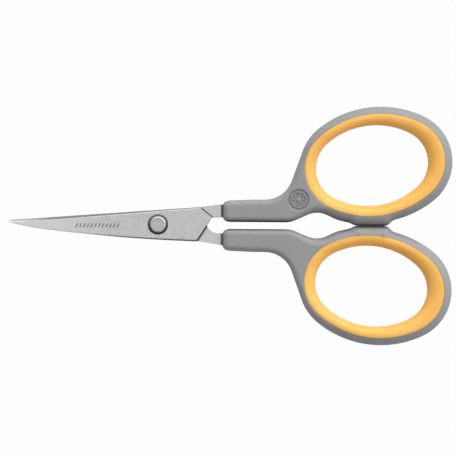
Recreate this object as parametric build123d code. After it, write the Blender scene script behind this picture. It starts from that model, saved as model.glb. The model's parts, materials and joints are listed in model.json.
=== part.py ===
from build123d import *
from math import cos, radians, sin, sqrt, tan
import os


# Small pointed detail scissors, four inches long, lying flat and closed.
# Modelling frame, in millimetres: the pivot axis is the Z axis, X runs from the tips (-X)
# to the finger loops (+X), and the inner faces of the two blades slide on each other at
# z = 0. The upper half (+Y) carries the front blade, the lower half (-Y) the rear blade.
# main moves the finished pieces so that the origin is the bottom centre of their box.

# ---- driving dimensions: blades ---------------------------------------------------------
STOCK = 1.4                     # thickness of the blade steel
INNER_GAP = 0.02                # from z = 0 to the inner face of either blade
FRONT_TIP = (-34.4, 0.3)        # the closed blades lean a little towards the upper handle
REAR_TIP = (-34.4, 0.66)
HEEL_TOP = (9.7, 4.03)          # front blade: where the cutting edge ends
HEEL_LOW = (8.75, -3.85)        # front blade: where the spine ends at the heel
CROTCH = (12.35, 1.66)          # front blade: where the heel meets the tang's lower edge
GRIND_AT_PIVOT = 1.02           # height of the ground face over the pivot
GRIND_ALONG = 0.0145            # rise of the ground face per mm along +X
GRIND_ACROSS = -0.066           # rise of the ground face per mm along +Y
PLUNGE_TOP = (9.9, 3.6)         # upper end of the line where the grinding stops
SIDE_LEAN = 14.0                # degrees that the blades' side walls lean inwards
TANG_TOP = (14.1, 4.65)         # front blade: upper edge of the tang at the nose
TANG_LOW = 2.2                  # lower edge of the tang inside the handle
TANG_END_X = 28.5               # how far each tang runs into its handle
KEY_HOLE_D = 1.2
KEY_HOLES_X = (20.0, 25.5)

# ---- driving dimensions: pivot ----------------------------------------------------------
RIVET_SHANK_D = 2.0
RUNNING_CLEARANCE = 0.03        # radial, between the rivet and the front blade's bore
RIVET_HEAD_D = 3.75
RIVET_HEAD_H = 0.75
RIVET_CHAMFER = 0.25
SPOTFACE_D = 4.6
SPOTFACE_Z = 0.85               # height of the recessed seat above the inner face plane
HEAD_GAP = 0.02                 # between the rivet head and its seat in the front blade
BURR_T = 0.45                   # washer that the rivet's tail is spread over
TAIL_D = 2.7                    # spread tail of the rivet
TAIL_H = 0.4

# ---- driving dimensions: handles --------------------------------------------------------
HANDLE_T = 6.6                  # thickness of the mouldings along Z
HANDLE_EDGE_R = 1.2             # rounding of their outer edges
NOSE_X = 14.75                  # front end of each handle
UPPER_SHANK = (0.7, 5.8)        # inner and outer edge of the upper handle's shank
LOWER_SHANK = (0.94, 6.12)      # and of the lower one's, which sits a little further out
NOSE_R = 1.3                    # corner radius of the nose in plan
WEB_R = 6.5                     # hollow between the shank and the finger loop
WEB_LEAN = 19.6                 # degrees that the web's straight side leans from upright
OVAL_FULLNESS = 1.15            # end radius of the ovals, over that of a true ellipse
BOW_CENTRE = (49.75, 14.0)
BOW_A = 17.46                   # half length of the finger loop
BOW_B = 13.15                   # half width of the finger loop
BOW_TILT = 7.1                  # degrees, rising towards the far end
STOP_Y = 0.04                   # face of the closing stop, just clear of the other handle's
STOP_LEFT = 44.9
STOP_RIGHT = 52.5
STOP_SHOULDER = 0.95            # length of the slanted shoulders along X
BADGE_AT = (32.05, 5.8)
BADGE_D = 4.9
BADGE_RING_W = 0.3              # width and depth of the groove round the plain medallion

# ---- driving dimensions: soft grips -----------------------------------------------------
GRIP_CENTRE = (49.45, 13.9)
GRIP_A = 16.1
GRIP_B = 11.65
GRIP_TILT = 8.5
HOLE_CENTRE = (48.8, 13.77)
HOLE_A = 12.85
HOLE_B = 9.15
HOLE_TILT = 8.0
GRIP_T = 6.2                    # slightly sunk below the handle's faces
GRIP_EDGE_R = 2.1               # rounding of the grip towards the fingers
TONGUE_T = 1.6                  # rib of the handle that the soft ring is moulded over
TONGUE_DEPTH = 1.0
BOND_GAP = 0.02                 # between the soft ring and the hard moulding

# ---- derived values ---------------------------------------------------------------------
HALF_HANDLE = HANDLE_T / 2
TANG_MIDDLE = (TANG_TOP[1] + TANG_LOW) / 2
BIG = 60.0                      # larger than any piece, for cutting tools


def end_radius(a, b):
    """Radius of the oval's two end arcs."""
    return OVAL_FULLNESS * b * b / a


def oval_face(centre, a, b, tilt):
    """Tilted oval of four arcs that join smoothly, close to an ellipse of half axes a, b."""
    end_r = end_radius(a, b)
    end_x = a - end_r
    side_y = (end_x**2 - (b - end_r) ** 2) / (2 * (b - end_r))
    reach = end_r / sqrt(end_x**2 + side_y**2)
    joint_x = end_x * (1 + reach)
    joint_y = side_y * reach
    low_right = (joint_x, -joint_y)
    high_right = (joint_x, joint_y)
    low_left = (-joint_x, -joint_y)
    high_left = (-joint_x, joint_y)
    arcs = [
        ThreePointArc(low_right, (a, 0), high_right),
        ThreePointArc(high_right, (0, b), high_left),
        ThreePointArc(high_left, (-a, 0), low_left),
        ThreePointArc(low_left, (0, -b), low_right),
    ]
    return Pos(*centre) * Rot(0, 0, tilt) * make_face(arcs)


def slab(face, low, high):
    """Straight solid of a plan outline between two heights."""
    return Pos(0, 0, low) * extrude(face, amount=high - low, dir=(0, 0, 1))


def flip(part):
    """Turn a piece over about the X axis: front becomes rear and upper becomes lower."""
    return Rot(180, 0, 0) * part


def above_grind():
    """Everything above the plane of the ground face."""
    plane = Plane(origin=(0, 0, GRIND_AT_PIVOT), z_dir=(-GRIND_ALONG, -GRIND_ACROSS, 1))
    return plane * Box(2 * BIG, 2 * BIG, BIG, align=(Align.CENTER, Align.CENTER, Align.MIN))


def pivot_bore(diameter):
    """Round tool along the pivot axis."""
    return Cylinder(diameter / 2, BIG)


def rod(diameter, height):
    """Upright cylinder that stands on z = 0."""
    return Cylinder(diameter / 2, height, align=(Align.CENTER, Align.CENTER, Align.MIN))


def seat(height):
    """Tool that cuts the recessed seat of the rivet head or burr."""
    return Pos(0, 0, height) * rod(SPOTFACE_D, BIG)


def front_blade_face():
    """Plan of the front blade: nearly straight cutting edge on top, curved spine below."""
    edges = [
        ThreePointArc(FRONT_TIP, (-13.0, 2.08), HEEL_TOP),
        Line(HEEL_TOP, TANG_TOP),
        Line(TANG_TOP, (TANG_END_X, TANG_TOP[1])),
        tang_end(),
        Line((TANG_END_X, TANG_LOW), CROTCH),
        Line(CROTCH, HEEL_LOW),
        Spline([HEEL_LOW, (-8.0, -3.0), (-20.0, -1.93), (-30.0, -0.65), FRONT_TIP]),
    ]
    return make_face(edges)


def rear_blade_face():
    """Plan of the rear blade, drawn turned over: its spine lies along the lower edge."""
    tip = (REAR_TIP[0], -REAR_TIP[1])
    edge_end = (8.75, 3.75)
    tang_top = (14.6, 4.65)
    hollow_start = (11.1, -0.1)
    hollow_end = (13.4, 1.9)
    heel_low = (9.3, -4.0)
    near_tip = (-29.5, -1.13)
    edges = [
        ThreePointArc(tip, (-13.0, 1.75), edge_end),
        Line(edge_end, tang_top),
        Line(tang_top, (TANG_END_X, TANG_TOP[1])),
        tang_end(),
        Line((TANG_END_X, TANG_LOW), hollow_end),
        ThreePointArc(hollow_end, (11.95, 1.25), hollow_start),
        Line(hollow_start, heel_low),
        Line(heel_low, near_tip),
        ThreePointArc(near_tip, (-32.3, -0.99), tip),
    ]
    return make_face(edges)


def tang_end():
    """Rounded end of either tang, deep in its handle."""
    return ThreePointArc(
        (TANG_END_X, TANG_TOP[1]), (TANG_END_X + 0.9, TANG_MIDDLE), (TANG_END_X, TANG_LOW)
    )


def key_holes():
    """Two holes through a tang, which the handle's plastic fills."""
    hole = Cylinder(KEY_HOLE_D / 2, BIG)
    return [Pos(x, TANG_MIDDLE, 0) * hole for x in KEY_HOLES_X]


def blade_blank(face):
    """Stock cut to a plan outline, with side walls that lean in towards the outer face."""
    plan = face.faces()[0]
    if plan.normal_at().Z > 0:
        plan = -plan
    height = STOCK - INNER_GAP
    return Pos(0, 0, INNER_GAP) * extrude(plan, amount=height, dir=(0, 0, 1), taper=SIDE_LEAN)


def ground_region():
    """Tip side of the plunge line, where the blade's outer face is ground away."""
    heel_x = 12.0
    corners = [
        PLUNGE_TOP,
        (PLUNGE_TOP[0], BIG / 2),
        (-BIG, BIG / 2),
        (-BIG, -BIG / 2),
        (heel_x, -BIG / 2),
        CROTCH,
    ]
    return slab(make_face(Polyline(*corners, close=True)), 0, STOCK + 1)


def finished_blade(face, bore_d):
    """Blade with its outer face ground, recessed and bored at the pivot, and keyed tang."""
    blade = blade_blank(face) - (ground_region() & above_grind())
    blade -= seat(SPOTFACE_Z)
    blade -= key_holes()
    return blade - pivot_bore(bore_d)


def front_blade():
    """Front blade; it turns freely on the rivet."""
    return finished_blade(front_blade_face(), RIVET_SHANK_D + 2 * RUNNING_CLEARANCE)


def rear_blade():
    """Rear blade; the rivet is a drive fit in it."""
    return flip(finished_blade(rear_blade_face(), RIVET_SHANK_D))


def pivot_rivet():
    """Chamfered head over the front blade, and a shank spread over the burr behind."""
    head_low = SPOTFACE_Z + HEAD_GAP
    head = Pos(0, 0, head_low) * rod(RIVET_HEAD_D, RIVET_HEAD_H)
    head = chamfer(head.edges().group_by(Axis.Z)[-1], RIVET_CHAMFER)
    burr_low = -SPOTFACE_Z - BURR_T
    shank = Pos(0, 0, burr_low) * rod(RIVET_SHANK_D, head_low - burr_low)
    tail = Pos(0, 0, burr_low - TAIL_H) * rod(TAIL_D, TAIL_H)
    tail = fillet(tail.edges().group_by(Axis.Z)[0], 0.8 * TAIL_H)
    return head + shank + tail


def rivet_burr():
    """Washer in the rear blade's recess, under the spread tail."""
    burr = Pos(0, 0, -SPOTFACE_Z - BURR_T) * rod(RIVET_HEAD_D, BURR_T)
    burr = chamfer(burr.edges().group_by(Axis.Z)[0], RIVET_CHAMFER / 2)
    return burr - pivot_bore(RIVET_SHANK_D)


def web_face(shank_high):
    """Web between shank and loop; its straight side is tangent to the loop's near end arc."""
    end_r = end_radius(BOW_A, BOW_B)
    to_arc = BOW_A - end_r
    arc_x = BOW_CENTRE[0] - to_arc * cos(radians(BOW_TILT))
    arc_y = BOW_CENTRE[1] - to_arc * sin(radians(BOW_TILT))
    top = (arc_x - end_r * cos(radians(WEB_LEAN)), arc_y + end_r * sin(radians(WEB_LEAN)))
    foot = (top[0] - (top[1] - shank_high) * tan(radians(WEB_LEAN)), shank_high)
    inner_foot = (foot[0] + 8.0, shank_high)
    return make_face(Polyline(foot, inner_foot, BOW_CENTRE, top, close=True)), foot


def handle_face(shank_edges):
    """Plan of a handle: shank, web, closing stop and finger loop."""
    low, high = shank_edges
    corners = [
        ((NOSE_X, low), NOSE_R),
        ((30.3, low), 5.0),
        ((36.45, 3.5), 5.0),
        ((40.9, 1.3), 8.0),
        ((STOP_LEFT - STOP_SHOULDER, 0.68), 0.5),
        ((STOP_LEFT, STOP_Y), 1.0),
        ((STOP_RIGHT, STOP_Y), 1.0),
        ((STOP_RIGHT + 2.5, 3.0), 1.0),
        ((40.0, high), 1.0),
        ((NOSE_X + 7.0, high), 5.0),
        ((NOSE_X, high - 0.3), NOSE_R),
    ]
    points = [point for point, radius in corners]
    radii = [radius for point, radius in corners]
    shank = make_face(FilletPolyline(*points, radius=radii, close=True))
    loop = oval_face(BOW_CENTRE, BOW_A, BOW_B, BOW_TILT)
    web, web_foot = web_face(high)
    plan = shank + loop + web
    plan = fillet(plan.vertices().sort_by_distance(web_foot)[0], WEB_R)
    shoulder_foot = plan.vertices().sort_by_distance((STOP_RIGHT + STOP_SHOULDER, 1.1))[0]
    return fillet(shoulder_foot, 1.0)


def soft_outline(inset=0.0):
    """Plan of the soft ring's outer wall, or of a smaller copy of it."""
    return oval_face(GRIP_CENTRE, GRIP_A - inset, GRIP_B - inset, GRIP_TILT)


def rim_edges(edges):
    """Those of the edges that lie highest and lowest."""
    levels = edges.group_by(Axis.Z)
    return levels[-1] + levels[0]


def hard_handle(shank_edges):
    """Hard moulding with shank, closing stop, finger loop and the rib behind the grip."""
    handle = slab(handle_face(shank_edges), -HALF_HANDLE, HALF_HANDLE)
    handle = fillet(rim_edges(handle.edges()), HANDLE_EDGE_R)
    handle -= slab(soft_outline(), -BIG, -TONGUE_T / 2)
    handle -= slab(soft_outline(), TONGUE_T / 2, BIG)
    return handle - slab(soft_outline(TONGUE_DEPTH), -BIG, BIG)


def badge_groove():
    """Ring groove round the plain medallion on the upper handle's front."""
    ring = rod(BADGE_D, BIG) - rod(BADGE_D - 2 * BADGE_RING_W, BIG)
    return Pos(*BADGE_AT, HALF_HANDLE - BADGE_RING_W) * ring


def upper_grip():
    """Soft ring moulded round the handle's rib, rounded towards the fingers."""
    hole = slab(oval_face(HOLE_CENTRE, HOLE_A, HOLE_B, HOLE_TILT), -BIG, BIG)
    blank = slab(soft_outline(BOND_GAP), -GRIP_T / 2, GRIP_T / 2)
    ring = blank - hole
    ring = fillet(rim_edges(new_edges(blank, hole, combined=ring)), GRIP_EDGE_R)
    half_slot = TONGUE_T / 2 + BOND_GAP
    slot = slab(soft_outline(-1), -half_slot, half_slot)
    slot -= slab(soft_outline(TONGUE_DEPTH + BOND_GAP), -half_slot, half_slot)
    return ring - slot


def main():
    grip = upper_grip()
    front = front_blade()
    rear = rear_blade()
    pieces = {
        "front_blade": front,
        "rear_blade": rear,
        "pivot_rivet": pivot_rivet(),
        "rivet_burr": rivet_burr(),
        "upper_handle": hard_handle(UPPER_SHANK) - badge_groove() - front,
        "lower_handle": flip(hard_handle(LOWER_SHANK)) - rear,
        "upper_grip": grip,
        "lower_grip": flip(grip),
    }
    box = Compound(list(pieces.values())).bounding_box()
    origin = Vector((box.min.X + box.max.X) / 2, (box.min.Y + box.max.Y) / 2, box.min.Z)
    print("pivot at", -origin, "size", box.size)
    os.makedirs("parts", exist_ok=True)
    for name, piece in pieces.items():
        moved = Pos(*(-origin)) * piece
        moved.label = name
        export_step(moved, f"parts/{name}.step")


main()
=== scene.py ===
import json
import math

import bmesh
import bpy
import numpy as np
from mathutils import Matrix, Vector
from mathutils.geometry import delaunay_2d_cdt


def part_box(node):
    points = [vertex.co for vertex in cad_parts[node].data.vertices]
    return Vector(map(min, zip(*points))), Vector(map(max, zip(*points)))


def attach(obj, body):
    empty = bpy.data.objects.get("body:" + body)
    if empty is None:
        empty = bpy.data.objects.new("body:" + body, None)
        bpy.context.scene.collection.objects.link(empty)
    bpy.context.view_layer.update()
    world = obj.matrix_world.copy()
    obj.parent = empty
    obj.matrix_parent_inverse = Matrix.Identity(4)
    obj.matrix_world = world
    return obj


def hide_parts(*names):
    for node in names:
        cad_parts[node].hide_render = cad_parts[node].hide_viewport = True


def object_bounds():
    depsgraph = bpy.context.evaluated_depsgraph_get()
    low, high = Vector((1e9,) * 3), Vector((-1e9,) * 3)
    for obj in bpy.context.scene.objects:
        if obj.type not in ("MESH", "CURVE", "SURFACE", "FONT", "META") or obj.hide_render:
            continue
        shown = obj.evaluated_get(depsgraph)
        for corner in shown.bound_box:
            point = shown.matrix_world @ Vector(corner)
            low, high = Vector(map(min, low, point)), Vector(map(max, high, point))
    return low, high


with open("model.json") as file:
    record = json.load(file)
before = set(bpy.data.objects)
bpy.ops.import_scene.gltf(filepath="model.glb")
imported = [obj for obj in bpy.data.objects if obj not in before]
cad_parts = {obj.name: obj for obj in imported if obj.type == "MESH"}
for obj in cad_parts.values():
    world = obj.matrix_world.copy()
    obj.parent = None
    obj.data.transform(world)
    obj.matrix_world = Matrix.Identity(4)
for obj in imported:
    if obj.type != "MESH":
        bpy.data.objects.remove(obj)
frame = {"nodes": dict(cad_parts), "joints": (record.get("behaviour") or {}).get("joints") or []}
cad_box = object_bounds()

# Small pointed detail scissors, lying closed. Every length below is in millimetres from the
# pivot axis, with z = 0 where the two blades slide on each other; row_point turns them into
# the frame's metres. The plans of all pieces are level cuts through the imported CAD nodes.
MM = 0.001
PIVOT = Vector(frame["joints"][0]["pos_m"])

# Spacing of the points that fill a plan, as shares of the wanted step: between rows, from an
# outline, from a crease.
ROW_SHARE, OUTLINE_SHARE, CREASE_SHARE = 0.87, 0.55, 0.35
# Edges that turn by more degrees than these are shaded as sharp.
SHARP_HARD, SHARP_SOFT, SHARP_STEEL, SHARP_TURNED = 50, 40, 12, 20

# ---- mouldings ----
HALF_THICKNESS = (cad_box[1].z - cad_box[0].z) / MM / 2
HANDLE_CUT = 1.7          # level between the tang and the rounded edges
GRIP_CUT = 0.95           # level between the rib and the rounded edges
RIM_STEP = 0.36           # spacing of points along the handle's outline
RIM_RINGS = 9             # rows of faces across the rounded edge
SHANK_REACH = 1.25        # how far the rounding reaches in from the outline, on the shank
LOOP_REACH = 2.3          # and round the finger loop
SHANK_DROP = 1.35         # height of that rounding
LOOP_DROP = 2.5
LOOP_SINK = 0.16          # the loop is this much thinner per side than the shank
LOOP_FROM, LOOP_TO = 30.0, 43.0    # shank shape changes into loop shape between these x
DRAFT = math.tan(math.radians(1.2))
PARTING_HALF = 0.07       # half width of the moulding's parting line
PARTING_PROUD = 0.035
FILL_STEP = 0.4           # spacing of points on the flat faces
WELD = 2e-4               # points this close together are one
SEAT_STEP = 0.5           # and along the seat of the soft ring, about
SEAT_MEAN_R = 15.0        # mean radius of that seat, for turning a spacing into an angle
SEAM = 0.025              # rounding on both sides of the seam between hard and soft
SEAT_NEAR = 0.12          # rounding that ends this near the seat is moved onto it
RIB_HALF, RIB_DEPTH = 0.8, 1.0
RIB_PLAY = 0.03
GRIP_ANGLES = 168
GRIP_ROUNDNESS = 2.25     # exponent of the soft ring's section, 2 is an ellipse
GRIP_ROWS = 12
OVAL_POINTS, OVAL_PASSES = 720, 40    # how finely an oval is read, and how much smoothed

# ---- plain medallion ----
BADGE_AT = (32.05, 5.8)
BADGE_R = 2.45
BADGE_CLEAR = 0.25        # the rounded edge stays this far from it
BADGE_SEGMENTS, BADGE_RINGS = 96, 44
BADGE_SUNK = 0.3          # its floor lies this deep, and ring, ribs and boss rise to the face

# ---- blades ----
INNER_FACE = 0.02
STOCK = 1.4
GRIND_AT_PIVOT, GRIND_ALONG, GRIND_ACROSS = 1.02, 0.0145, -0.066
PLUNGE_TOP = (9.9, 3.6)
CROTCH = (12.35, 1.66)
BEVEL_END_X = 9.6         # the cutting bevel ends here, at the tang
BEVEL_RUN = 0.42          # width of the cutting bevel in plan, per height
SIDE_RUN = math.tan(math.radians(15.0))    # the same for the leaning spine
STAMPED_RUN = 0.07        # and for the sides of heel and tang
HEEL_LEFT_X = 8.6
HEEL_RUN = (3.6, 5.51)    # direction of the heel's edge, from the spine up to the crotch
NOSE_X = 14.75            # where the tangs enter the mouldings
LAND = 0.04               # height of the steel at its thinnest edges
EDGE_BREAK = 0.05         # softened edges of the steel
PLUNGE_W = 0.3            # width of the step where the grinding stops
TIP_FLAT = 0.06           # the needle tips are blunted by this length
BLADE_STEP = 0.5          # spacing of points on the blades
INNER_STEP = 2.0          # and on their flat inner sides
CORNER_GAP = 0.04         # corners of an outline closer together than this are one
CREASE_PAIR = (-0.02, 0.03)    # two lines follow an edge, this far before and behind it
RIDGE_STEP = 0.2
KEY_HOLES_X, KEY_HOLE_R = (20.0, 25.5), 0.6

# ---- pivot ----
SPOTFACE_R, SPOTFACE_Z = 2.27, 0.85
SPOTFACE_WALL = 0.07      # the recess wall rises within this width
SPOTFACE_SLOPE = 6.0      # height of that wall per width
SHANK_R = 1.0
SHANK_PLAY = 0.03         # the front blade's bore is this much wider
TURN_SEGMENTS = 96

# ---- etched mark ----
MARK_X, MARK_Y = (-19.0, -8.8), -0.3
MARK_HALF = 0.42          # half height of the strokes
MARK_PITCH = 0.85
MARK_SLANT = 0.5          # the strokes lean forward by this much per height
MARK_SOFT = 0.1           # its edges fade over this width

# ---- finishes ----
# Pairs are the two ends of a mottled tone.
GREY_PLASTIC = ((0.225, 0.226, 0.226, 1), (0.256, 0.257, 0.257, 1))
GREY_GRAIN = ((0.18, 0.18, 0.18, 1), (0.29, 0.29, 0.29, 1))
GRAIN_SHARE = 0.8         # how much of the grain's own tones shows in the plastic
SOFT_ORANGE = ((0.8, 0.43, 0.085, 1), (0.84, 0.46, 0.1, 1))
SOAK_SHARE, SOAK_RADIUS = 0.5, (1.2, 0.6, 0.25)    # light under the soft plastic's skin, mm
SATIN = ((0.41, 0.41, 0.41, 1), (0.52, 0.52, 0.52, 1)), 0.36      # and the roughness
TUMBLED = ((0.37, 0.37, 0.37, 1), (0.52, 0.52, 0.52, 1)), 0.3
PAINTED_HIGHLIGHT = (0.82, 0.82, 0.82, 1)       # painted highlight on the cutting bevels and on the sides near the tips
PAINTED_STEEL_SHADE = (0.13, 0.13, 0.13, 1)         # painted shade on the leaning and stamped sides and along the bevels' edge
FLAT = (0.56, 0.56, 0.56, 1)         # unground tangs
GLOSS_TIP = (0.55, 0.55, 0.55, 1)    # the narrow tips are polished by use
ETCHED, ETCHED_SHARE = (0.1, 0.1, 0.1, 1), 0.75
PAINTED_COVER_SHADE = (0.2, 0.2, 0.2, 1)         # painted shade on the rear blade's inner face, where the front blade covers it
HEEL_SHADOW = (0.02, 0.02, 0.02, 1)
# painted shade round the rivet's head and where the tangs enter the mouldings
PAINTED_RECESS_SHADE = (0.025, 0.024, 0.022, 1)
# painted shade in the gaps between the closed halves and at the noses
PAINTED_CONTACT_SHADE = (0.01, 0.01, 0.01, 1)
# painted shade in the medallion's low parts
PAINTED_BADGE_SHADE = (0.08, 0.08, 0.08, 1)
# Painted shade where the closed halves lie side by side: from x, to x, full within |y|, gone at
# |y|, strength. The first is along the shanks, the second on the closing stops.
PAINTED_GAP_SHADE = ((15.2, 43.0, 0.85, 1.35, 0.8), (44.6, 52.9, 0.16, 0.6, 0.7))
SIDE_SLOPE = (0.29, 0.36)            # levelness between leaning sides and bevels
BEVEL_SLOPE = (0.36, 0.6)            # and of the bevels
TIP_GLOW = (-24.0, -11.0)            # each of these fades between two x
TIP_SIDES = (-17.0, -8.0)
TIP_EDGE = (-31.0, -24.0)

# ---- light ----
LIGHT_TOWARDS = (0.5, 0.866, 0.0)
DOME_LEAST = 0.3
DOME_STEPS = ((-0.8, 0.2, 0.75), (0.1, 0.95, 1.9))    # each: rise from, to, by
TABLE = 0.7               # how much light the table gives back
FLOOR_GLOW = 0.985
FLOOR_DROP, TABLE_DROP = 0.02, 0.04
SHEET_HALF = 3.0          # half width of floor and table, in metres

# ---- camera ----
CAMERA_HEIGHT = 1.6       # in metres over the top faces
VIEW_WIDTH = 103.97
VIEW_MIDDLE = (16.01, -0.71)
VIEW_ROLL = math.radians(0.4)


def row_point(x, y, z):
    """A point in millimetres from the pivot, in the frame's metres."""
    return PIVOT + Vector((x, y, z)) * MM


def mm_box(node):
    """Lowest and highest corner of a CAD node, in millimetres from the pivot."""
    return [(corner - PIVOT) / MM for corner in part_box(node)]


def blend_01(x, low, high):
    """0 below low, 1 above high and a smooth rise between."""
    t = np.clip((np.asarray(x, float) - low) / (high - low), 0, 1)
    return t * t * (3 - 2 * t)


# ---- plans, as arrays of points that run anticlockwise ----
def signed_area(loop):
    x, y = loop[:, 0], loop[:, 1]
    return float(np.sum(x * np.roll(y, -1) - np.roll(x, -1) * y) / 2)


def section(node, height):
    """The closed outlines of a CAD node in a level cut, largest first."""
    bm = bmesh.new()
    bm.from_mesh(frame["nodes"][node].data)
    bmesh.ops.remove_doubles(bm, verts=bm.verts, dist=1e-7)
    everything = bm.verts[:] + bm.edges[:] + bm.faces[:]
    cut = bmesh.ops.bisect_plane(
        bm, geom=everything, dist=1e-9, plane_co=row_point(0, 0, height), plane_no=(0, 0, 1)
    )
    edges = [piece for piece in cut["geom_cut"] if isinstance(piece, bmesh.types.BMEdge)]
    loops = []
    while edges:
        first = edges.pop(0)
        start, here = first.verts
        walk = [start]
        while here is not start:
            walk.append(here)
            onward = next(edge for edge in edges if here in edge.verts)
            edges.remove(onward)
            here = onward.other_vert(here)
        loop = np.array([((v.co - PIVOT) / MM)[:2] for v in walk])
        if signed_area(loop) < 0:
            loop = loop[::-1]
        loops.append(np.roll(loop, -int(np.argmin(loop[:, 0])), axis=0))
    bm.free()
    return sorted(loops, key=signed_area, reverse=True)


def resample(loop, count):
    """The same closed outline as evenly spaced points."""
    closed = np.vstack([loop, loop[:1]])
    steps = np.linalg.norm(np.diff(closed, axis=0), axis=1)
    along = np.concatenate([[0], np.cumsum(steps)])
    at = np.linspace(0, along[-1], count, endpoint=False)
    return np.column_stack([np.interp(at, along, closed[:, k]) for k in (0, 1)])


def perimeter(loop):
    return float(np.linalg.norm(np.roll(loop, -1, 0) - loop, axis=1).sum())


def smoothed(loop, passes):
    """Rounds off the facets of a resampled outline."""
    for _ in range(passes):
        loop = (np.roll(loop, 1, 0) + 2 * loop + np.roll(loop, -1, 0)) / 4
    return loop


def inward(loop):
    """Unit normals that point into an anticlockwise outline."""
    tangent = np.roll(loop, -1, 0) - np.roll(loop, 1, 0)
    tangent /= np.linalg.norm(tangent, axis=1)[:, None]
    return np.column_stack([-tangent[:, 1], tangent[:, 0]])


def distance_to(loop, points):
    """Distance from each point to an outline's nearest side."""
    a, b = loop, np.roll(loop, -1, 0)
    side = b - a
    length2 = (side**2).sum(1)
    best = np.empty(len(points))
    for i, point in enumerate(points):
        t = np.clip(((point - a) * side).sum(1) / length2, 0, 1)
        best[i] = np.sqrt((((a + side * t[:, None]) - point) ** 2).sum(1).min())
    return best


def inside(loop, points):
    """Which points lie inside an outline."""
    a, b = loop, np.roll(loop, -1, 0)
    hits = np.zeros(len(points), int)
    for p, q in zip(a, b):
        spans = (p[1] > points[:, 1]) != (q[1] > points[:, 1])
        rise = (points[:, 1] - p[1]) / np.where(q[1] == p[1], 1, q[1] - p[1])
        hits += spans & (points[:, 0] < p[0] + rise * (q[0] - p[0]))
    return hits % 2 == 1


class Oval:
    """A convex outline given by its radius at each angle about its centre."""

    def __init__(self, loop):
        dense = smoothed(resample(loop, OVAL_POINTS), OVAL_PASSES)
        self.centre = (dense.max(0) + dense.min(0)) / 2
        arm = dense - self.centre
        angle = np.arctan2(arm[:, 1], arm[:, 0])
        order = np.argsort(angle)
        self.angles = angle[order]
        self.radii = np.linalg.norm(arm, axis=1)[order]

    def radius(self, angle):
        return np.interp(angle, self.angles, self.radii, period=2 * math.pi)

    def at(self, angle):
        arm = np.column_stack([np.cos(angle), np.sin(angle)])
        return self.centre + arm * self.radius(angle)[:, None]

    def angle_of(self, points):
        arm = points - self.centre
        return np.arctan2(arm[:, 1], arm[:, 0])

    def outside_by(self, points):
        arm = points - self.centre
        return np.linalg.norm(arm, axis=1) - self.radius(self.angle_of(points))


# ---- mesh helpers ----
def new_piece(name, bm, sharp_degrees):
    """A finished bmesh in millimetres as an object in the frame, smooth but for sharp edges."""
    bmesh.ops.recalc_face_normals(bm, faces=bm.faces)
    into_frame = Matrix.Translation(PIVOT) @ Matrix.Scale(MM, 4)
    bmesh.ops.transform(bm, matrix=into_frame, verts=bm.verts)
    mesh = bpy.data.meshes.new(name)
    bm.to_mesh(mesh)
    bm.free()
    mesh.shade_smooth()
    mesh.set_sharp_from_angle(angle=math.radians(sharp_degrees))
    piece = bpy.data.objects.new(name, mesh)
    bpy.context.scene.collection.objects.link(piece)
    return piece


def add_rings(bm, rings, closed=False):
    """Rows of quads between rings of as many points each; closed joins last to first."""
    rows = [[bm.verts.new(point) for point in ring] for ring in rings]
    pairs = list(zip(rows, rows[1:]))
    if closed:
        pairs.append((rows[-1], rows[0]))
    for low, high in pairs:
        for i in range(len(low)):
            j = (i + 1) % len(low)
            bm.faces.new([low[i], low[j], high[j], high[i]])
    return rows


def lifted(plan, height):
    """Plan points with a height each, or the same for all."""
    return np.column_stack([plan, np.broadcast_to(height, len(plan))])


def turns_left(points):
    """Whether three plan points run anticlockwise."""
    (ax, ay), (bx, by), (cx, cy) = points
    return (bx - ax) * (cy - ay) - (cx - ax) * (by - ay) > 0


def fill_between(bm, boundary, holes, heights, step, creases=()):
    """Triangles over the plan between a boundary and its holes; creases stay as edges."""
    low, high = boundary.min(0), boundary.max(0)
    grid = []
    for row, y in enumerate(np.arange(low[1], high[1], step * ROW_SHARE)):
        shift = step / 2 if row % 2 else 0
        grid += [(x + shift, y) for x in np.arange(low[0], high[0], step)]
    grid = np.array(grid)
    grid = grid[inside(boundary, grid)]
    grid = grid[distance_to(boundary, grid) > OUTLINE_SHARE * step]
    for hole in holes:
        grid = grid[~inside(hole, grid)]
        grid = grid[distance_to(hole, grid) > OUTLINE_SHARE * step]
    for crease in creases:
        apart = np.linalg.norm(grid[:, None] - crease[None], axis=2).min(1)
        grid = grid[apart > CREASE_SHARE * step]
    points, edges, spans = [], [], []
    for loop in [boundary] + holes:
        first, count = len(points), len(loop)
        points += [Vector(p) for p in loop]
        edges += [(first + i, first + (i + 1) % count) for i in range(count)]
        spans.append((first, first + count))
    for crease in creases:
        first = len(points)
        points += [Vector(p) for p in crease]
        edges += [(first + i, first + i + 1) for i in range(len(crease) - 1)]
    points += [Vector(p) for p in grid]
    plan, _, triangles, origins, *_ = delaunay_2d_cdt(points, edges, [], 0, 1e-6)
    plan = np.array([tuple(p) for p in plan])
    middles = np.array([plan[list(t)].mean(0) for t in triangles])
    wanted = inside(boundary, middles)
    for hole in holes:
        wanted &= ~inside(hole, middles)
    # A triangle whose corners all lie on one loop may be too thin for that test, but it is
    # inside the loop exactly if its corners turn left in the loop's own order.
    for is_hole, (start, end) in enumerate(spans):
        place = [[i for i in origin if start <= i < end] for origin in origins]
        for k, triangle in enumerate(triangles):
            corners = [place[i] for i in triangle]
            if all(corners):
                order = sorted(zip((c[0] for c in corners), triangle))
                within = turns_left([plan[i] for _, i in order])
                wanted[k] = wanted[k] and not within if is_hole else within
    lift = heights(plan)
    verts = {}
    for keep, triangle in zip(wanted, triangles):
        if not keep:
            continue
        for i in triangle:
            if i not in verts:
                verts[i] = bm.verts.new((*plan[i], lift[i]))
        bm.faces.new([verts[i] for i in triangle])


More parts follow.
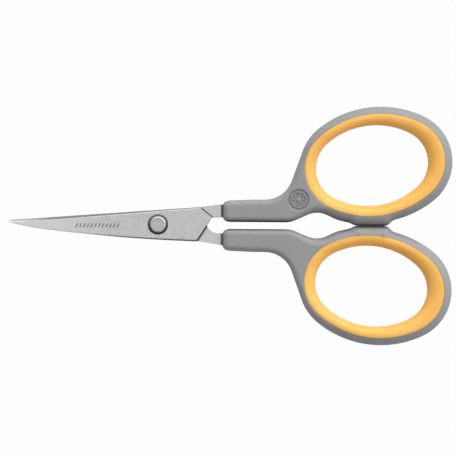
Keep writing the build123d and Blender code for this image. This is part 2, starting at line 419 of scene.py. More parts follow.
# ---- handles ----
def crown(x):
    """Half thickness of the moulding: full on the shank, a little less round the loop."""
    return HALF_THICKNESS - LOOP_SINK * blend_01(x, LOOP_FROM, LOOP_TO)


def reach(x):
    return SHANK_REACH + (LOOP_REACH - SHANK_REACH) * blend_01(x, LOOP_FROM, LOOP_TO)


def drop(x):
    return SHANK_DROP + (LOOP_DROP - SHANK_DROP) * blend_01(x, LOOP_FROM, LOOP_TO)


def rounded_height(distance, x):
    """Height of the moulding's face at a distance in from its outline."""
    t = np.clip(1 - distance / reach(x), 0, 1)
    return crown(x) - drop(x) * (1 - np.sqrt(1 - t**2))


def badge_relief(r, angle):
    """Height of the plain medallion: a groove, a raised ring, short ribs and a middle boss."""

    def bump(centre, half_width):
        t = np.clip(np.abs(r - centre) / half_width, 0, 1)
        return 0.5 + 0.5 * np.cos(math.pi * t)

    slight = BADGE_SUNK - 0.02
    groove = -slight * bump(BADGE_R - 0.18, 0.26)
    floor_level = -BADGE_SUNK * (1 - blend_01(r, BADGE_R - 0.4, BADGE_R - 0.15))
    ring = BADGE_SUNK * bump(1.72, 0.24)
    boss = BADGE_SUNK * (1 - blend_01(r, 0.35, 0.62))
    spoke = np.clip(np.cos(8 * angle), 0, 1) ** 2
    ribs = slight * spoke * blend_01(r, 0.72, 0.95) * (1 - blend_01(r, 1.15, 1.4))
    return groove + floor_level + ring + boss + ribs


def add_badge(bm, face):
    """Fine round patch with the medallion's relief, to fill the hole left for it in a face."""
    angle = np.linspace(0, 2 * math.pi, BADGE_SEGMENTS, endpoint=False)
    arms = np.column_stack([np.cos(angle), np.sin(angle)])
    rings = []
    for r in np.linspace(BADGE_R + 0.1, 0.06, BADGE_RINGS):
        plan = np.array(BADGE_AT) + arms * r
        rings.append(lifted(plan, face(plan) + badge_relief(np.full(len(plan), r), angle)))
    rows = add_rings(bm, rings)
    bm.faces.new(rows[-1])
    return rings[0][:, :2]


def rim_of(node):
    """Smooth, evenly spaced outline of a handle."""
    outline = section(node, HANDLE_CUT)[0]
    count = round(perimeter(outline) / RIM_STEP)
    return smoothed(resample(outline, count), 3)


def rounding_depth(rim, normal, seat, badge):
    """How far the rounded edge reaches in from each rim point, and where it meets the grip.

    It stops at the grip's seat, short of the medallion, and before its own points would cross
    in the narrow places.
    """
    wanted = reach(rim[:, 0])
    low, high = np.zeros(len(rim)), wanted.copy()
    meets = seat.outside_by(rim + normal * wanted[:, None]) < 0
    for _ in range(40):
        middle = (low + high) / 2
        out = seat.outside_by(rim + normal * middle[:, None]) > 0
        low, high = np.where(out, middle, low), np.where(out, high, middle)
    limit = np.where(meets, low, wanted)
    depth = limit.copy()
    for share in np.linspace(0.98, 0.3, 35):
        point = rim + normal * depth[:, None]
        crowded = distance_to(rim, point) < 0.97 * depth
        if badge:
            crowded |= np.linalg.norm(point - BADGE_AT, axis=1) < BADGE_R + BADGE_CLEAR
        depth = np.where(crowded, share * limit, depth)
    rim_step = np.roll(rim, -1, 0) - rim
    for _ in range(80):
        point = rim + normal * depth[:, None]
        step = np.roll(point, -1, 0) - point
        stalled = (step * rim_step).sum(1) < 0.25 * (rim_step**2).sum(1)
        stalled |= np.roll(stalled, 1)
        depth = np.where(stalled, 0.97 * depth, depth)
    return depth, seat.outside_by(rim + normal * depth[:, None]) < SEAT_NEAR


def seat_loop(last, meets, seat):
    """The grip's seat as one outline: the points where the rounding meets it, and new ones."""
    ring_place = np.flatnonzero(meets)
    angle = seat.angle_of(last[meets])
    order = np.argsort(angle)
    ring_place, angle = ring_place[order], angle[order]
    gaps = np.diff(np.append(angle, angle[0] + 2 * math.pi))
    apart = (np.roll(ring_place, -1) - ring_place) % len(last)
    angles = []
    for start, gap, steps in zip(angle, gaps, apart):
        joined = steps in (1, len(last) - 1)
        pieces = 1 if joined else max(1, round(gap * SEAT_MEAN_R / SEAT_STEP))
        angles += [start + gap * k / pieces for k in range(pieces)]
    return seat.at(np.array(angles))


def handle(node, with_badge):
    """Hard moulding: rounded shank, web, stop and finger loop, with a rib for the grip."""
    rim = rim_of(node)
    normal = inward(rim)
    seat = Oval(section(node, HANDLE_CUT)[1])
    depth, meets = rounding_depth(rim, normal, seat, with_badge)
    x = rim[:, 0]
    widest = np.arccos(1 - depth / reach(x))
    upper = []
    for k in range(RIM_RINGS + 1):
        turn = widest * k / RIM_RINGS
        height = crown(x) - drop(x) * (1 - np.sin(turn))
        into = reach(x) * (1 - np.cos(turn)) + DRAFT * height * (1 - k / RIM_RINGS)
        upper.append(lifted(rim + normal * into[:, None], height))
    side = []
    for height, proud in ((PARTING_HALF, 0), (0, PARTING_PROUD), (-PARTING_HALF, 0)):
        into = DRAFT * abs(height) - proud
        side.append(lifted(rim + normal * into, height))

    def top(plan):
        return rounded_height(distance_to(rim, plan), plan[:, 0])

    def bottom(plan):
        return -top(plan)

    last = upper[-1][:, :2]
    last[meets] = seat.at(seat.angle_of(last[meets]))
    upper[-1] = lifted(last, top(last))
    mirrored = [ring * (1, 1, -1) for ring in upper]
    loop = seat_loop(last, meets, seat)
    bm = bmesh.new()
    add_rings(bm, mirrored[::-1] + side[::-1] + upper)
    holes = [loop]
    if with_badge:
        holes = [loop, add_badge(bm, top)]
    fill_between(bm, last, holes, top, FILL_STEP)
    fill_between(bm, last, [loop], bottom, FILL_STEP)
    into_seat = inward(loop)
    lip = top(loop)
    walls = [
        lifted(loop, lip),
        lifted(loop + into_seat * SEAM, lip - SEAM),
        lifted(loop + into_seat * SEAM, RIB_HALF),
        lifted(loop + into_seat * RIB_DEPTH, RIB_HALF),
    ]
    add_rings(bm, walls + [wall * (1, 1, -1) for wall in walls[::-1]])
    bmesh.ops.remove_doubles(bm, verts=bm.verts, dist=WELD)
    return new_piece(node + "_moulding", bm, SHARP_HARD), rim


# ---- soft grips ----
def grip(node, rim):
    """Soft ring: it carries on the loop's rounding and falls in a full curve to the hole."""
    outer_loop, hole_loop = section(node, GRIP_CUT)[:2]
    outer, hole = Oval(outer_loop), Oval(hole_loop)
    angle = np.linspace(-math.pi, math.pi, GRIP_ANGLES, endpoint=False)
    wall = outer.at(angle)
    edge = hole.at(angle)
    arm = edge - wall
    width = np.linalg.norm(arm, axis=1)
    arm /= width[:, None]
    x = wall[:, 0]
    depth = distance_to(rim, wall)
    crest = np.clip(reach(x) - depth, 8 * SEAM, 0.3 * width)
    top = crown(x)
    lip = rounded_height(depth, x)

    rings = [lifted(wall + arm * SEAM, lip - SEAM)]
    past_seam = 2.2 * SEAM
    for share in (0.0, 0.35, 0.7):
        into = past_seam + (crest - past_seam) * share
        rings.append(lifted(wall + arm * into[:, None], rounded_height(depth + into, x)))
    for k in range(GRIP_ROWS + 1):
        turn = math.pi / 2 * k / GRIP_ROWS
        across = math.sin(turn) ** (2 / GRIP_ROUNDNESS)
        height = math.cos(turn) ** (2 / GRIP_ROUNDNESS) if k < GRIP_ROWS else 0.0
        into = crest + (width - crest) * across
        rings.append(lifted(wall + arm * into[:, None], top * height))
    lower = [ring * (1, 1, -1) for ring in rings[-2::-1]]
    slot_half = RIB_HALF + RIB_PLAY
    slot = [
        lifted(wall + arm * SEAM, -slot_half),
        lifted(wall + arm * (RIB_DEPTH + RIB_PLAY), -slot_half),
        lifted(wall + arm * (RIB_DEPTH + RIB_PLAY), slot_half),
        lifted(wall + arm * SEAM, slot_half),
    ]
    bm = bmesh.new()
    add_rings(bm, rings + lower + slot, closed=True)
    return new_piece(node + "_soft_ring", bm, SHARP_SOFT)


# ---- blades ----
def ground_height(plan):
    """Height of the ground outer face of a blade over a plan point."""
    return GRIND_AT_PIVOT + GRIND_ALONG * plan[:, 0] + GRIND_ACROSS * plan[:, 1]


def soft_min(a, b):
    """The lower of two heights, with the corner between them slightly rounded."""
    overlap = np.clip(EDGE_BREAK - np.abs(a - b), 0, None)
    return np.minimum(a, b) - overlap**2 / (4 * EDGE_BREAK)


def clip_to(loop, point, normal):
    """The part of an outline that lies on the normal's side of a line through a point."""
    depth = (loop - point) @ normal
    kept = []
    for i in range(len(loop)):
        j = (i + 1) % len(loop)
        if depth[i] >= 0:
            kept.append(loop[i])
        if (depth[i] >= 0) != (depth[j] >= 0):
            t = depth[i] / (depth[i] - depth[j])
            kept.append(loop[i] + (loop[j] - loop[i]) * t)
    return np.array(kept)


def divided(loop, step):
    """Outline with points added on its long sides and those too close together left out."""
    corners = [loop[0]]
    for point in loop[1:]:
        if np.linalg.norm(point - corners[-1]) > CORNER_GAP:
            corners.append(point)
    points = []
    for a, b in zip(corners, corners[1:] + corners[:1]):
        pieces = max(1, math.ceil(np.linalg.norm(b - a) / step))
        points += [a + (b - a) * k / pieces for k in range(pieces)]
    return np.array(points)


def circle(centre, radius, segments=TURN_SEGMENTS):
    angle = np.linspace(0, 2 * math.pi, segments, endpoint=False)
    return np.array(centre) + radius * np.column_stack([np.cos(angle), np.sin(angle)])


def across_at(loop, x):
    """Lowest and highest y of an outline at one x."""
    hits = []
    for p, q in zip(loop, np.roll(loop, -1, 0)):
        if (p[0] - x) * (q[0] - x) <= 0 and p[0] != q[0]:
            hits.append(p[1] + (q[1] - p[1]) * (x - p[0]) / (q[0] - p[0]))
    return min(hits), max(hits)


def side_run(plan):
    """Leaning sides on the blade, nearly upright ones at the heel and on the tang."""
    heel = blend_01(plan[:, 0], HEEL_LEFT_X - 0.4, HEEL_LEFT_X)
    return SIDE_RUN + (STAMPED_RUN - SIDE_RUN) * heel


class Blade:
    """Plan and heights of a blade: ground face, cutting bevel, leaning sides, tang, recess."""

    def __init__(self, outline):
        tip = outline[:, 0].min() + TIP_FLAT
        self.outline = divided(clip_to(outline, (tip, 0), (1, 0)), BLADE_STEP)
        plunge = np.array(CROTCH) - np.array(PLUNGE_TOP)
        self.plunge = plunge / np.linalg.norm(plunge)
        self.to_tang = np.array([-self.plunge[1], self.plunge[0]])
        high = across_at(self.outline, 0.0)[1]
        start = int(np.argmin(np.linalg.norm(self.outline - (0.0, high), axis=1)))
        turned_round = np.roll(self.outline, -start, axis=0)
        along = turned_round[:, 0]
        last = next(i for i in range(len(along)) if along[i] < tip + 0.01)
        first = next(i for i in range(len(along) - 1, 0, -1) if along[i] > BEVEL_END_X)
        self.edge = np.vstack([turned_round[first:], turned_round[: last + 1]])

    def from_edge(self, plan):
        """Distance to the cutting edge, an open line."""
        a, b = self.edge[:-1], self.edge[1:]
        side = b - a
        length2 = (side**2).sum(1)
        t = ((plan[:, None] - a) * side).sum(2) / length2
        nearest = a + side * np.clip(t, 0, 1)[:, :, None]
        return np.linalg.norm(nearest - plan[:, None], axis=2).min(1)

    def past_plunge(self, plan):
        return (plan - np.array(PLUNGE_TOP)) @ self.to_tang

    def face(self, plan):
        """Height of the outer face, before its edges are worked."""
        ground = ground_height(plan)
        step = blend_01(self.past_plunge(plan), 0, PLUNGE_W)
        return ground + (STOCK - ground) * step

    def top(self, plan):
        height = self.face(plan)
        from_side = distance_to(self.outline, plan)
        height = soft_min(height, INNER_FACE + LAND + from_side / side_run(plan))
        height = soft_min(height, INNER_FACE + LAND + self.from_edge(plan) / BEVEL_RUN)
        out = np.linalg.norm(plan, axis=1) - SPOTFACE_R
        return np.minimum(height, SPOTFACE_Z + np.clip(out, 0, None) * SPOTFACE_SLOPE)

    def creases(self):
        """Lines that stay crisp: bevel, sides, the ridge at the tip, the plunge, the recess."""
        normal = inward(self.outline)
        face = self.face(self.outline) - INNER_FACE - LAND
        on_edge = self.from_edge(self.outline) < 1e-6
        run = np.where(on_edge, BEVEL_RUN, side_run(self.outline))
        lines = []
        for extra in CREASE_PAIR:
            width = run * face + extra
            inner = self.outline + normal * width[:, None]
            free = distance_to(self.outline, inner) > 0.985 * width
            free &= inside(self.outline, inner)
            free &= np.where(on_edge, True, self.from_edge(inner) > BEVEL_RUN * face)
            lines += runs_of(inner, free)
        lines.append(self.ridge())
        for past in (0.0, PLUNGE_W / 3, 2 * PLUNGE_W / 3, PLUNGE_W):
            start = np.array(PLUNGE_TOP) + self.to_tang * past - self.plunge * 3
            line = start + self.plunge * np.arange(0, 12, 0.1)[:, None]
            near = distance_to(self.outline, line) > 0.03
            lines += runs_of(line, near & inside(self.outline, line))
        for r in (SPOTFACE_R, SPOTFACE_R + SPOTFACE_WALL):
            ring = circle((0, 0), r)
            lines.append(np.vstack([ring, ring[:1]]))
        return lines

    def ridge(self):
        """Where bevel and leaning spine meet near the tip, before there is a face between."""
        x = self.outline[:, 0].min() + 0.02
        points = []
        while True:
            low, high = across_at(self.outline, x)
            y = (high * SIDE_RUN + low * BEVEL_RUN) / (SIDE_RUN + BEVEL_RUN)
            if high - low > (SIDE_RUN + BEVEL_RUN) * ground_height(np.array([[x, y]]))[0]:
                return np.array(points)
            points.append((x, y))
            x += RIDGE_STEP


def runs_of(points, keep):
    """The unbroken runs of the points to keep, each of two points or more."""
    runs, run = [], []
    for point, kept in zip(points, keep):
        if kept:
            run.append(point)
        elif run:
            runs.append(run)
            run = []
    if run:
        runs.append(run)
    return [np.array(run) for run in runs if len(run) > 1]


def blade(node, mirrored):
    """Solid blade from its plan: face, flat inner side, sides, bore and the tang's holes."""
    sign = -1 if mirrored else 1
    outline = section(node, sign * (INNER_FACE + 0.005))[0]
    if mirrored:
        outline = (outline * (1, -1))[::-1]
    steel = Blade(outline)
    tang_y = across_at(steel.outline, KEY_HOLES_X[0])
    middle_y = sum(tang_y) / 2
    holes = [circle((0, 0), SHANK_R if mirrored else SHANK_R + SHANK_PLAY)]
    holes += [circle((x, middle_y), KEY_HOLE_R, 32) for x in KEY_HOLES_X]

    def inner_side(plan):
        return np.full(len(plan), INNER_FACE)

    bm = bmesh.new()
    fill_between(bm, steel.outline, holes, steel.top, BLADE_STEP, steel.creases())
    fill_between(bm, steel.outline, holes, inner_side, INNER_STEP)
    for loop in [steel.outline] + holes:
        add_rings(bm, [lifted(loop, INNER_FACE), lifted(loop, steel.top(loop))])
    bmesh.ops.remove_doubles(bm, verts=bm.verts, dist=WELD)
    if mirrored:
        bmesh.ops.transform(bm, matrix=Matrix.Rotation(math.pi, 4, "X"), verts=bm.verts)
    return new_piece(node + "_steel", bm, SHARP_STEEL)


# ---- rivet and burr ----
def turned(profile, hollow=False):
    """Closed mesh of a profile of (radius, z) points turned about the pivot axis."""
    bm = bmesh.new()
    rows = add_rings(bm, [lifted(circle((0, 0), r), z) for r, z in profile], closed=hollow)
    if not hollow:
        bm.faces.new(rows[0])
        bm.faces.new(rows[-1])
    return bm


def rivet():
    """Turned rivet: flat head with a bright chamfer, and a tail spread over the burr."""
    low, high = mm_box("pivot_rivet")
    head_r = (high.x - low.x) / 2
    top, seat_z, chamfer = high.z, SPOTFACE_Z + 0.02, 0.28
    tail_z = mm_box("rivet_burr")[0].z
    profile = [
        (0.35, low.z + 0.02),
        (0.9, low.z + 0.05),
        (1.2, low.z + 0.16),
        (1.33, low.z + 0.3),
        (1.3, tail_z),
        (SHANK_R, tail_z),
        (SHANK_R, seat_z),
        (head_r - 0.05, seat_z),
        (head_r, seat_z + 0.05),
        (head_r, top - chamfer - 0.03),
        (head_r - 0.02, top - chamfer + 0.01),
        (head_r - chamfer + 0.03, top - 0.03),
        (head_r - chamfer - 0.02, top),
        (1.0, top - 0.012),
        (0.3, top - 0.016),
    ]
    return new_piece("pivot_rivet_turned", turned(profile), SHARP_TURNED)


def burr():
    """Turned washer under the rivet's tail."""
    low, high = mm_box("rivet_burr")
    outer = (high.x - low.x) / 2
    profile = [
        (SHANK_R, high.z),
        (outer - 0.04, high.z),
        (outer, high.z - 0.04),
        (outer, low.z + 0.14),
        (outer - 0.14, low.z),
        (SHANK_R + 0.06, low.z),
        (SHANK_R, low.z + 0.06),
    ]
    return new_piece("rivet_burr_turned", turned(profile, hollow=True), SHARP_TURNED)


# ---- materials ----
def material(name):
    """New node material; returns it with its tree and its shader."""
    made = bpy.data.materials.new(name)
    made.use_nodes = True
    tree = made.node_tree
    shader = tree.nodes["Principled BSDF"]
    return made, tree, shader


def add_node(tree, kind, **values):
    """Adds a node and sets its properties, or its inputs where a name starts with in_."""
    made = tree.nodes.new(kind)
    for key, value in values.items():
        if key.startswith("in_"):
            made.inputs[key[3:].replace("_", " ")].default_value = value
        else:
            setattr(made, key, value)
    return made


def own_coordinates(tree):
    """The piece's own coordinates, which at rest are the frame's and move with the piece."""
    return tree.nodes.new("ShaderNodeTexCoord").outputs["Object"]


def noise(tree, scale, detail=3.0, roughness=0.55):
    """Noise with a scale per axis, in cycles per millimetre."""
    mapping = tree.nodes.new("ShaderNodeMapping")
    mapping.inputs["Scale"].default_value = [s / MM for s in scale]
    tree.links.new(own_coordinates(tree), mapping.inputs["Vector"])
    texture = add_node(tree, "ShaderNodeTexNoise", in_Detail=detail, in_Roughness=roughness)
    texture.inputs["Scale"].default_value = 1.0
    tree.links.new(mapping.outputs["Vector"], texture.inputs["Vector"])
    return texture.outputs["Fac"]


def ranged(tree, value, low, high, from_low=0.3, from_high=0.7, kind="LINEAR"):
    """Maps a value's range, clamped, to another; by default the range that noise fills."""
    remap = add_node(tree, "ShaderNodeMapRange", interpolation_type=kind)
    remap.inputs["From Min"].default_value = from_low
    remap.inputs["From Max"].default_value = from_high
    remap.inputs["To Min"].default_value = low
    remap.inputs["To Max"].default_value = high
    tree.links.new(value, remap.inputs["Value"])
    return remap.outputs["Result"]


def feed(tree, socket, value):
    """Links a socket to another, or sets it to a number or colour."""
    if hasattr(value, "links"):
        tree.links.new(value, socket)
    else:
        socket.default_value = value


def mixed(tree, factor, first, second):
    """Colour between two colours by a factor; each is a socket or a value."""
    mix = add_node(tree, "ShaderNodeMix", data_type="RGBA")
    feed(tree, mix.inputs["Factor"], factor)
    for key, value in (("A", first), ("B", second)):
        feed(tree, next(s for s in mix.inputs if s.name == key and s.type == "RGBA"), value)
    return next(s for s in mix.outputs if s.type == "RGBA")


def combined(tree, operation, first, second):
    """A sum, product or the like of two sockets or numbers."""
    made = add_node(tree, "ShaderNodeMath", operation=operation)
    feed(tree, made.inputs[0], first)
    feed(tree, made.inputs[1], second)
    return made.outputs["Value"]


def product(tree, first, *others):
    """Product of two or more sockets or numbers."""
    for other in others:
        first = combined(tree, "MULTIPLY", first, other)
    return first


def size_of(tree, value):
    """The value without its sign."""
    return combined(tree, "ABSOLUTE", value, 0)


def band(tree, value, low, high, soft):
    """1 between low and high, falling to 0 over the soft width outside."""
    rise = ranged(tree, value, 0, 1, low - soft, low)
    fall = ranged(tree, value, 1, 0, high, high + soft)
    return product(tree, rise, fall)


def coordinate(tree, axis):
    """One coordinate in millimetres from the pivot."""
    split = tree.nodes.new("ShaderNodeSeparateXYZ")
    tree.links.new(own_coordinates(tree), split.inputs["Vector"])
    local = add_node(tree, "ShaderNodeMath", operation="MULTIPLY_ADD")
    local.inputs[1].default_value = 1 / MM
    local.inputs[2].default_value = -PIVOT["XYZ".index(axis)] / MM
    tree.links.new(split.outputs[axis], local.inputs[0])
    return local.outputs["Value"]


def flat_distance(tree, place):
    """Distance in millimetres from an upright axis at a place given from the pivot."""
    away = add_node(tree, "ShaderNodeVectorMath", operation="SUBTRACT")
    away.inputs[1].default_value = row_point(*place, 0)
    flat = add_node(tree, "ShaderNodeVectorMath", operation="MULTIPLY")
    flat.inputs[1].default_value = (1 / MM, 1 / MM, 0)
    length = add_node(tree, "ShaderNodeVectorMath", operation="LENGTH")
    tree.links.new(own_coordinates(tree), away.inputs[0])
    tree.links.new(away.outputs["Vector"], flat.inputs[0])
    tree.links.new(flat.outputs["Vector"], length.inputs[0])
    return length.outputs["Value"]


def past_line(tree, run):
    """Distance towards the tang from a line through the crotch, along a direction."""
    length = math.hypot(run[0], run[1])
    across = (run[1] / length, -run[0] / length)
    x = product(tree, coordinate(tree, "X"), across[0])
    y = product(tree, coordinate(tree, "Y"), across[1])
    offset = CROTCH[0] * across[0] + CROTCH[1] * across[1]
    return combined(tree, "SUBTRACT", combined(tree, "ADD", x, y), offset)


def levelness(tree):
    """1 on level faces, 0 on upright ones."""
    geometry = tree.nodes.new("ShaderNodeNewGeometry")
    split = tree.nodes.new("ShaderNodeSeparateXYZ")
    tree.links.new(geometry.outputs["True Normal"], split.inputs["Vector"])
    return size_of(tree, split.outputs["Z"])


def finish_surface(tree, shader, colour, roughness, relief, strength, distance):
    """Gives a shader its colour, roughness and bump sockets; distance in millimetres."""
    tree.links.new(colour, shader.inputs["Base Color"])
    tree.links.new(roughness, shader.inputs["Roughness"])
    bump = add_node(tree, "ShaderNodeBump", in_Strength=strength, in_Distance=distance * MM)
    tree.links.new(relief, bump.inputs["Height"])
    tree.links.new(bump.outputs["Normal"], shader.inputs["Normal"])


# ---- plastics ----
def plastic():
    """Grey moulded plastic with a spark-eroded grain, with painted shade where the halves lie
    together and at the noses.
    """
    made, tree, shader = material("handle_plastic")
    patches = noise(tree, (0.25, 0.25, 0.25), 4)
    grain = noise(tree, (3.2, 3.2, 3.2), 4, 0.7)
    colour = mixed(tree, ranged(tree, patches, 0, 1), *GREY_PLASTIC)
    speckled = mixed(tree, ranged(tree, grain, 0, 1), *GREY_GRAIN)
    colour = mixed(tree, GRAIN_SHARE, colour, speckled)
    beside = size_of(tree, coordinate(tree, "Y"))
    along = coordinate(tree, "X")
    # painted shade in the gaps between the closed halves
    for start, end, near, far, strength in PAINTED_GAP_SHADE:
        contact_shade = product(
            tree,
            ranged(tree, beside, strength, 0, near, far),
            band(tree, along, start, end, 1.0),
        )
        colour = mixed(tree, contact_shade, colour, PAINTED_CONTACT_SHADE)
    # painted shade on the noses, where the tangs enter
    nose = ranged(tree, along, 0.5, 0, NOSE_X + 0.05, NOSE_X + 0.4)
    colour = mixed(tree, nose, colour, PAINTED_CONTACT_SHADE)
    # painted shade in the medallion's low parts
    colour = mixed(tree, badge_shade(tree), colour, PAINTED_BADGE_SHADE)
    roughness = ranged(tree, patches, 0.44, 0.56)
    finish_surface(tree, shader, colour, roughness, grain, 0.5, 0.03)
    return made


def badge_shade(tree):
    """Painted shade in the medallion's low parts, on the front only."""
    on_badge = ranged(tree, flat_distance(tree, BADGE_AT), 1, 0, BADGE_R, BADGE_R + 0.1)
    level = coordinate(tree, "Z")
    low = ranged(tree, level, 0.18, 0, HALF_THICKNESS - 0.32, HALF_THICKNESS - 0.06)
    front = ranged(tree, level, 0, 1, 1.5, 2.0)
    return product(tree, on_badge, low, front)


def rubber():
    """Warm yellow-orange soft plastic that light soaks into."""
    made, tree, shader = material("grip_rubber")
    patches = noise(tree, (0.3, 0.3, 0.3), 3)
    grain = noise(tree, (7.0, 7.0, 7.0), 2)
    shader.inputs["Subsurface Weight"].default_value = SOAK_SHARE
    shader.inputs["Subsurface Radius"].default_value = SOAK_RADIUS
    shader.inputs["Subsurface Scale"].default_value = MM
    colour = mixed(tree, ranged(tree, patches, 0, 1), *SOFT_ORANGE)
    roughness = ranged(tree, patches, 0.42, 0.55)
    finish_surface(tree, shader, colour, roughness, grain, 0.25, 0.015)
    return made


# ---- steels ----
GROUND = (0.3, 9.0, 9.0)             # fine lines along the blade, in cycles per millimetre
EVEN = (4.0, 4.0, 4.0)


def steel_finish(name, tones, rough, lines, marks_and_shading):
    """Mottled satin steel with grinding lines; the last argument changes its colour in places,
    with real marks and with painted highlights and painted shade.
    """
    made, tree, shader = material(name)
    shader.inputs["Metallic"].default_value = 1.0
    patches = noise(tree, (0.9, 0.9, 0.9), 6, 0.7)
    streaks = noise(tree, lines, 3, 0.7)
    colour = marks_and_shading(tree, mixed(tree, ranged(tree, patches, 0, 1), *tones))
    roughness = ranged(tree, streaks, rough - 0.06, rough + 0.08)
    finish_surface(tree, shader, colour, roughness, streaks, 0.3, 0.004)
    return made


def off_sides(tree):
    """0 on the steel's leaning and stamped sides, 1 on its faces and bevels."""
    return ranged(tree, levelness(tree), 0, 1, *SIDE_SLOPE)


def on_bevels(tree):
    """1 on the cutting bevels, 0 elsewhere."""
    on_blade = ranged(tree, coordinate(tree, "X"), 1, 0, BEVEL_END_X - 0.2, BEVEL_END_X + 0.2)
    return product(tree, band(tree, levelness(tree), *BEVEL_SLOPE, 0.03), on_blade)


def bevel_edge_shade(tree):
    """Painted shade: a dark line along the very edge of the bevels, fading out towards the tips.
    """
    low = ranged(tree, size_of(tree, coordinate(tree, "Z")), 0.8, 0, 0.3, 0.5)
    fading = ranged(tree, coordinate(tree, "X"), 0, 1, *TIP_EDGE)
    return product(tree, low, fading, on_bevels(tree))


def etched_mark(tree):
    """Plain etched mark on the blade: a short row of slanted strokes."""
    level = combined(tree, "SUBTRACT", coordinate(tree, "Y"), MARK_Y)
    lean = product(tree, level, -MARK_SLANT)
    slanted = combined(tree, "ADD", coordinate(tree, "X"), lean)
    wave = combined(tree, "SINE", product(tree, slanted, 2 * math.pi / MARK_PITCH), 0)
    strokes = ranged(tree, wave, 0, 1, 0.1, 0.5)
    length = band(tree, slanted, *MARK_X, MARK_SOFT)
    height = band(tree, size_of(tree, level), -1, MARK_HALF, MARK_SOFT)
    return product(tree, strokes, length, height)


def recess_shade(tree):
    """Painted shade round the rivet's head, stronger on its lower side, and where the tangs
    enter the mouldings.
    """
    ring = band(tree, flat_distance(tree, (0, 0)), 1.6, SPOTFACE_R - 0.02, 0.12)
    # the painted shade is stronger on the lower side, away from the light
    lower_side_darker = ranged(tree, coordinate(tree, "Y"), 0.97, 0.72, -1.0, 1.8)
    joint = ranged(tree, coordinate(tree, "X"), 0, 0.93, NOSE_X - 0.5, NOSE_X - 0.2)
    return combined(tree, "MAXIMUM", product(tree, ring, lower_side_darker), joint)


def blade_tones(tree, colour):
    """Polished tips; painted shade on the leaning sides that turns into a painted highlight
    towards the tips; a painted highlight on the bevels with a line of painted shade along their
    edge.
    """
    along = coordinate(tree, "X")
    colour = mixed(tree, ranged(tree, along, 1, 0, *TIP_GLOW), colour, GLOSS_TIP)
    # painted shade on the sides, turning into a painted highlight towards the tips
    sides = mixed(tree, ranged(tree, along, 0, 1, *TIP_SIDES), PAINTED_HIGHLIGHT, PAINTED_STEEL_SHADE)
    colour = mixed(tree, off_sides(tree), sides, colour)
    # painted highlight on the cutting bevels
    colour = mixed(tree, on_bevels(tree), colour, PAINTED_HIGHLIGHT)
    # painted shade along the bevels' edge
    return mixed(tree, bevel_edge_shade(tree), colour, PAINTED_STEEL_SHADE)


def front_blade_tones(tree, colour):
    """The front blade also has the etched mark, an unground tang and painted shade round the
    rivet and at the mouldings.
    """
    colour = blade_tones(tree, colour)
    colour = mixed(tree, product(tree, etched_mark(tree), ETCHED_SHARE), colour, ETCHED)
    plunge_run = (PLUNGE_TOP[0] - CROTCH[0], PLUNGE_TOP[1] - CROTCH[1])
    unground = ranged(tree, past_line(tree, plunge_run), 0, 0.7, PLUNGE_W, PLUNGE_W + 0.1)
    colour = mixed(tree, unground, colour, FLAT)
    # painted shade round the rivet and at the mouldings
    return mixed(tree, recess_shade(tree), colour, PAINTED_RECESS_SHADE)


def rear_blade_tones(tree, colour):
    """The rear blade has painted shade where the front one covers it, up to a painted shadow
    line along the heel.
    """
    colour = blade_tones(tree, colour)
    past_heel = past_line(tree, HEEL_RUN)
    inner = ranged(tree, coordinate(tree, "Z"), 0, 1, -0.4, -0.1)
    fading = ranged(tree, coordinate(tree, "X"), 0, 1, *TIP_EDGE)
    # painted shade where the front blade covers the rear one
    cover_shade = product(tree, ranged(tree, past_heel, 0.75, 0, -0.3, -0.1), inner, fading)
    colour = mixed(tree, ranged(tree, past_heel, 0, 1, -0.3, -0.1), colour, FLAT)
    colour = mixed(tree, cover_shade, colour, PAINTED_COVER_SHADE)
    # painted shadow line cast by the front blade's heel on the rear tang
    line = ranged(tree, past_heel, 0.95, 0, 0.1, 0.55)
    line = product(tree, line, ranged(tree, past_heel, 0, 1, -0.2, 0.0), inner)
    colour = mixed(tree, line, colour, HEEL_SHADOW)
    # painted shade round the rivet and at the mouldings
    return mixed(tree, recess_shade(tree), colour, PAINTED_RECESS_SHADE)


def rivet_tones(tree, colour):
    """Painted shade on the sides of the turned parts."""
    return mixed(tree, off_sides(tree), PAINTED_STEEL_SHADE, colour)


# ---- scene ----
def world_light():
    """Soft studio light: a dome that grows brighter towards one side, low over the table."""
    world = bpy.data.worlds.new("studio")
    bpy.context.scene.world = world
    world.use_nodes = True
    tree = world.node_tree
    where = tree.nodes.new("ShaderNodeTexCoord")
    dot = add_node(tree, "ShaderNodeVectorMath", operation="DOT_PRODUCT")
    dot.inputs[1].default_value = LIGHT_TOWARDS
    tree.links.new(where.outputs["Generated"], dot.inputs[0])
    brightness = DOME_LEAST
    for start, end, gain in DOME_STEPS:
        rise = ranged(tree, dot.outputs["Value"], 0, gain, start, end, "SMOOTHSTEP")
        brightness = combined(tree, "ADD", rise, brightness)
    background = tree.nodes["Background"]
    tree.links.new(brightness, background.inputs["Strength"])
    background.inputs["Color"].default_value = (1, 1, 1, 1)


def sheet(name, drop):
    """Large level sheet, drop millimetres under the object, with a matt material of its own."""
    bm = bmesh.new()
    bmesh.ops.create_grid(bm, x_segments=1, y_segments=1, size=SHEET_HALF)
    mesh = bpy.data.meshes.new(name)
    bm.to_mesh(mesh)
    bm.free()
    made = bpy.data.objects.new(name, mesh)
    bpy.context.scene.collection.objects.link(made)
    made.location.z = cad_box[0].z - drop * MM
    finish, _, shader = material(name)
    shader.inputs["Roughness"].default_value = 1.0
    shader.inputs["Specular IOR Level"].default_value = 0.0
    mesh.materials.append(finish)
    return made, shader


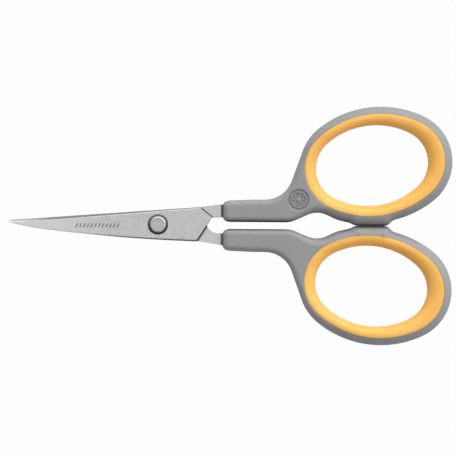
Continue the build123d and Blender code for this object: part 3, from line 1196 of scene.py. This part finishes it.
def floor():
    """Pale glowing sheet for the camera over a pale table that sends light back up."""
    glow, shader = sheet("floor", FLOOR_DROP)
    shader.inputs["Base Color"].default_value = (0, 0, 0, 1)
    shader.inputs["Emission Color"].default_value = (1, 1, 1, 1)
    shader.inputs["Emission Strength"].default_value = FLOOR_GLOW
    glow.visible_diffuse = False
    glow.visible_glossy = False
    glow.visible_transmission = False
    glow.visible_shadow = False
    table, shader = sheet("table", TABLE_DROP)
    shader.inputs["Base Color"].default_value = (TABLE, TABLE, TABLE, 1)
    table.visible_camera = False


def camera():
    """Straight down on the object, from far enough for a nearly parallel view."""
    data = bpy.data.cameras.new("camera")
    made = bpy.data.objects.new("camera", data)
    bpy.context.scene.collection.objects.link(made)
    data.sensor_width = 36.0
    data.lens = data.sensor_width * CAMERA_HEIGHT / (VIEW_WIDTH * MM)
    data.clip_start, data.clip_end = 0.05, 20.0
    aim = row_point(*VIEW_MIDDLE, HALF_THICKNESS)
    made.location = aim + Vector((0, 0, CAMERA_HEIGHT))
    made.rotation_euler = (0, 0, VIEW_ROLL)
    bpy.context.scene.camera = made


# ---- putting it together ----
def put(piece, body, node_name, finish):
    """Gives a piece its finish and its body, and hides the CAD node it stands for."""
    piece.data.materials.clear()
    piece.data.materials.append(finish)
    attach(piece, body)
    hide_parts(node_name)


bpy.context.scene.view_settings.view_transform = "Standard"
camera()
world_light()
floor()

grey = plastic()
orange = rubber()
front_steel = steel_finish("blade_steel_front", *SATIN, GROUND, front_blade_tones)
rear_steel = steel_finish("blade_steel_rear", *SATIN, GROUND, rear_blade_tones)
rivet_steel = steel_finish("rivet_steel", *TUMBLED, EVEN, rivet_tones)

for side, body, badge in (("upper", "upper_half", True), ("lower", "lower_half", False)):
    moulding, rim = handle(side + "_handle", badge)
    put(moulding, body, side + "_handle", grey)
    put(grip(side + "_grip", rim), body, side + "_grip", orange)
put(blade("front_blade", False), "upper_half", "front_blade", front_steel)
put(blade("rear_blade", True), "lower_half", "rear_blade", rear_steel)
put(rivet(), "lower_half", "pivot_rivet", rivet_steel)
put(burr(), "lower_half", "rivet_burr", rivet_steel)
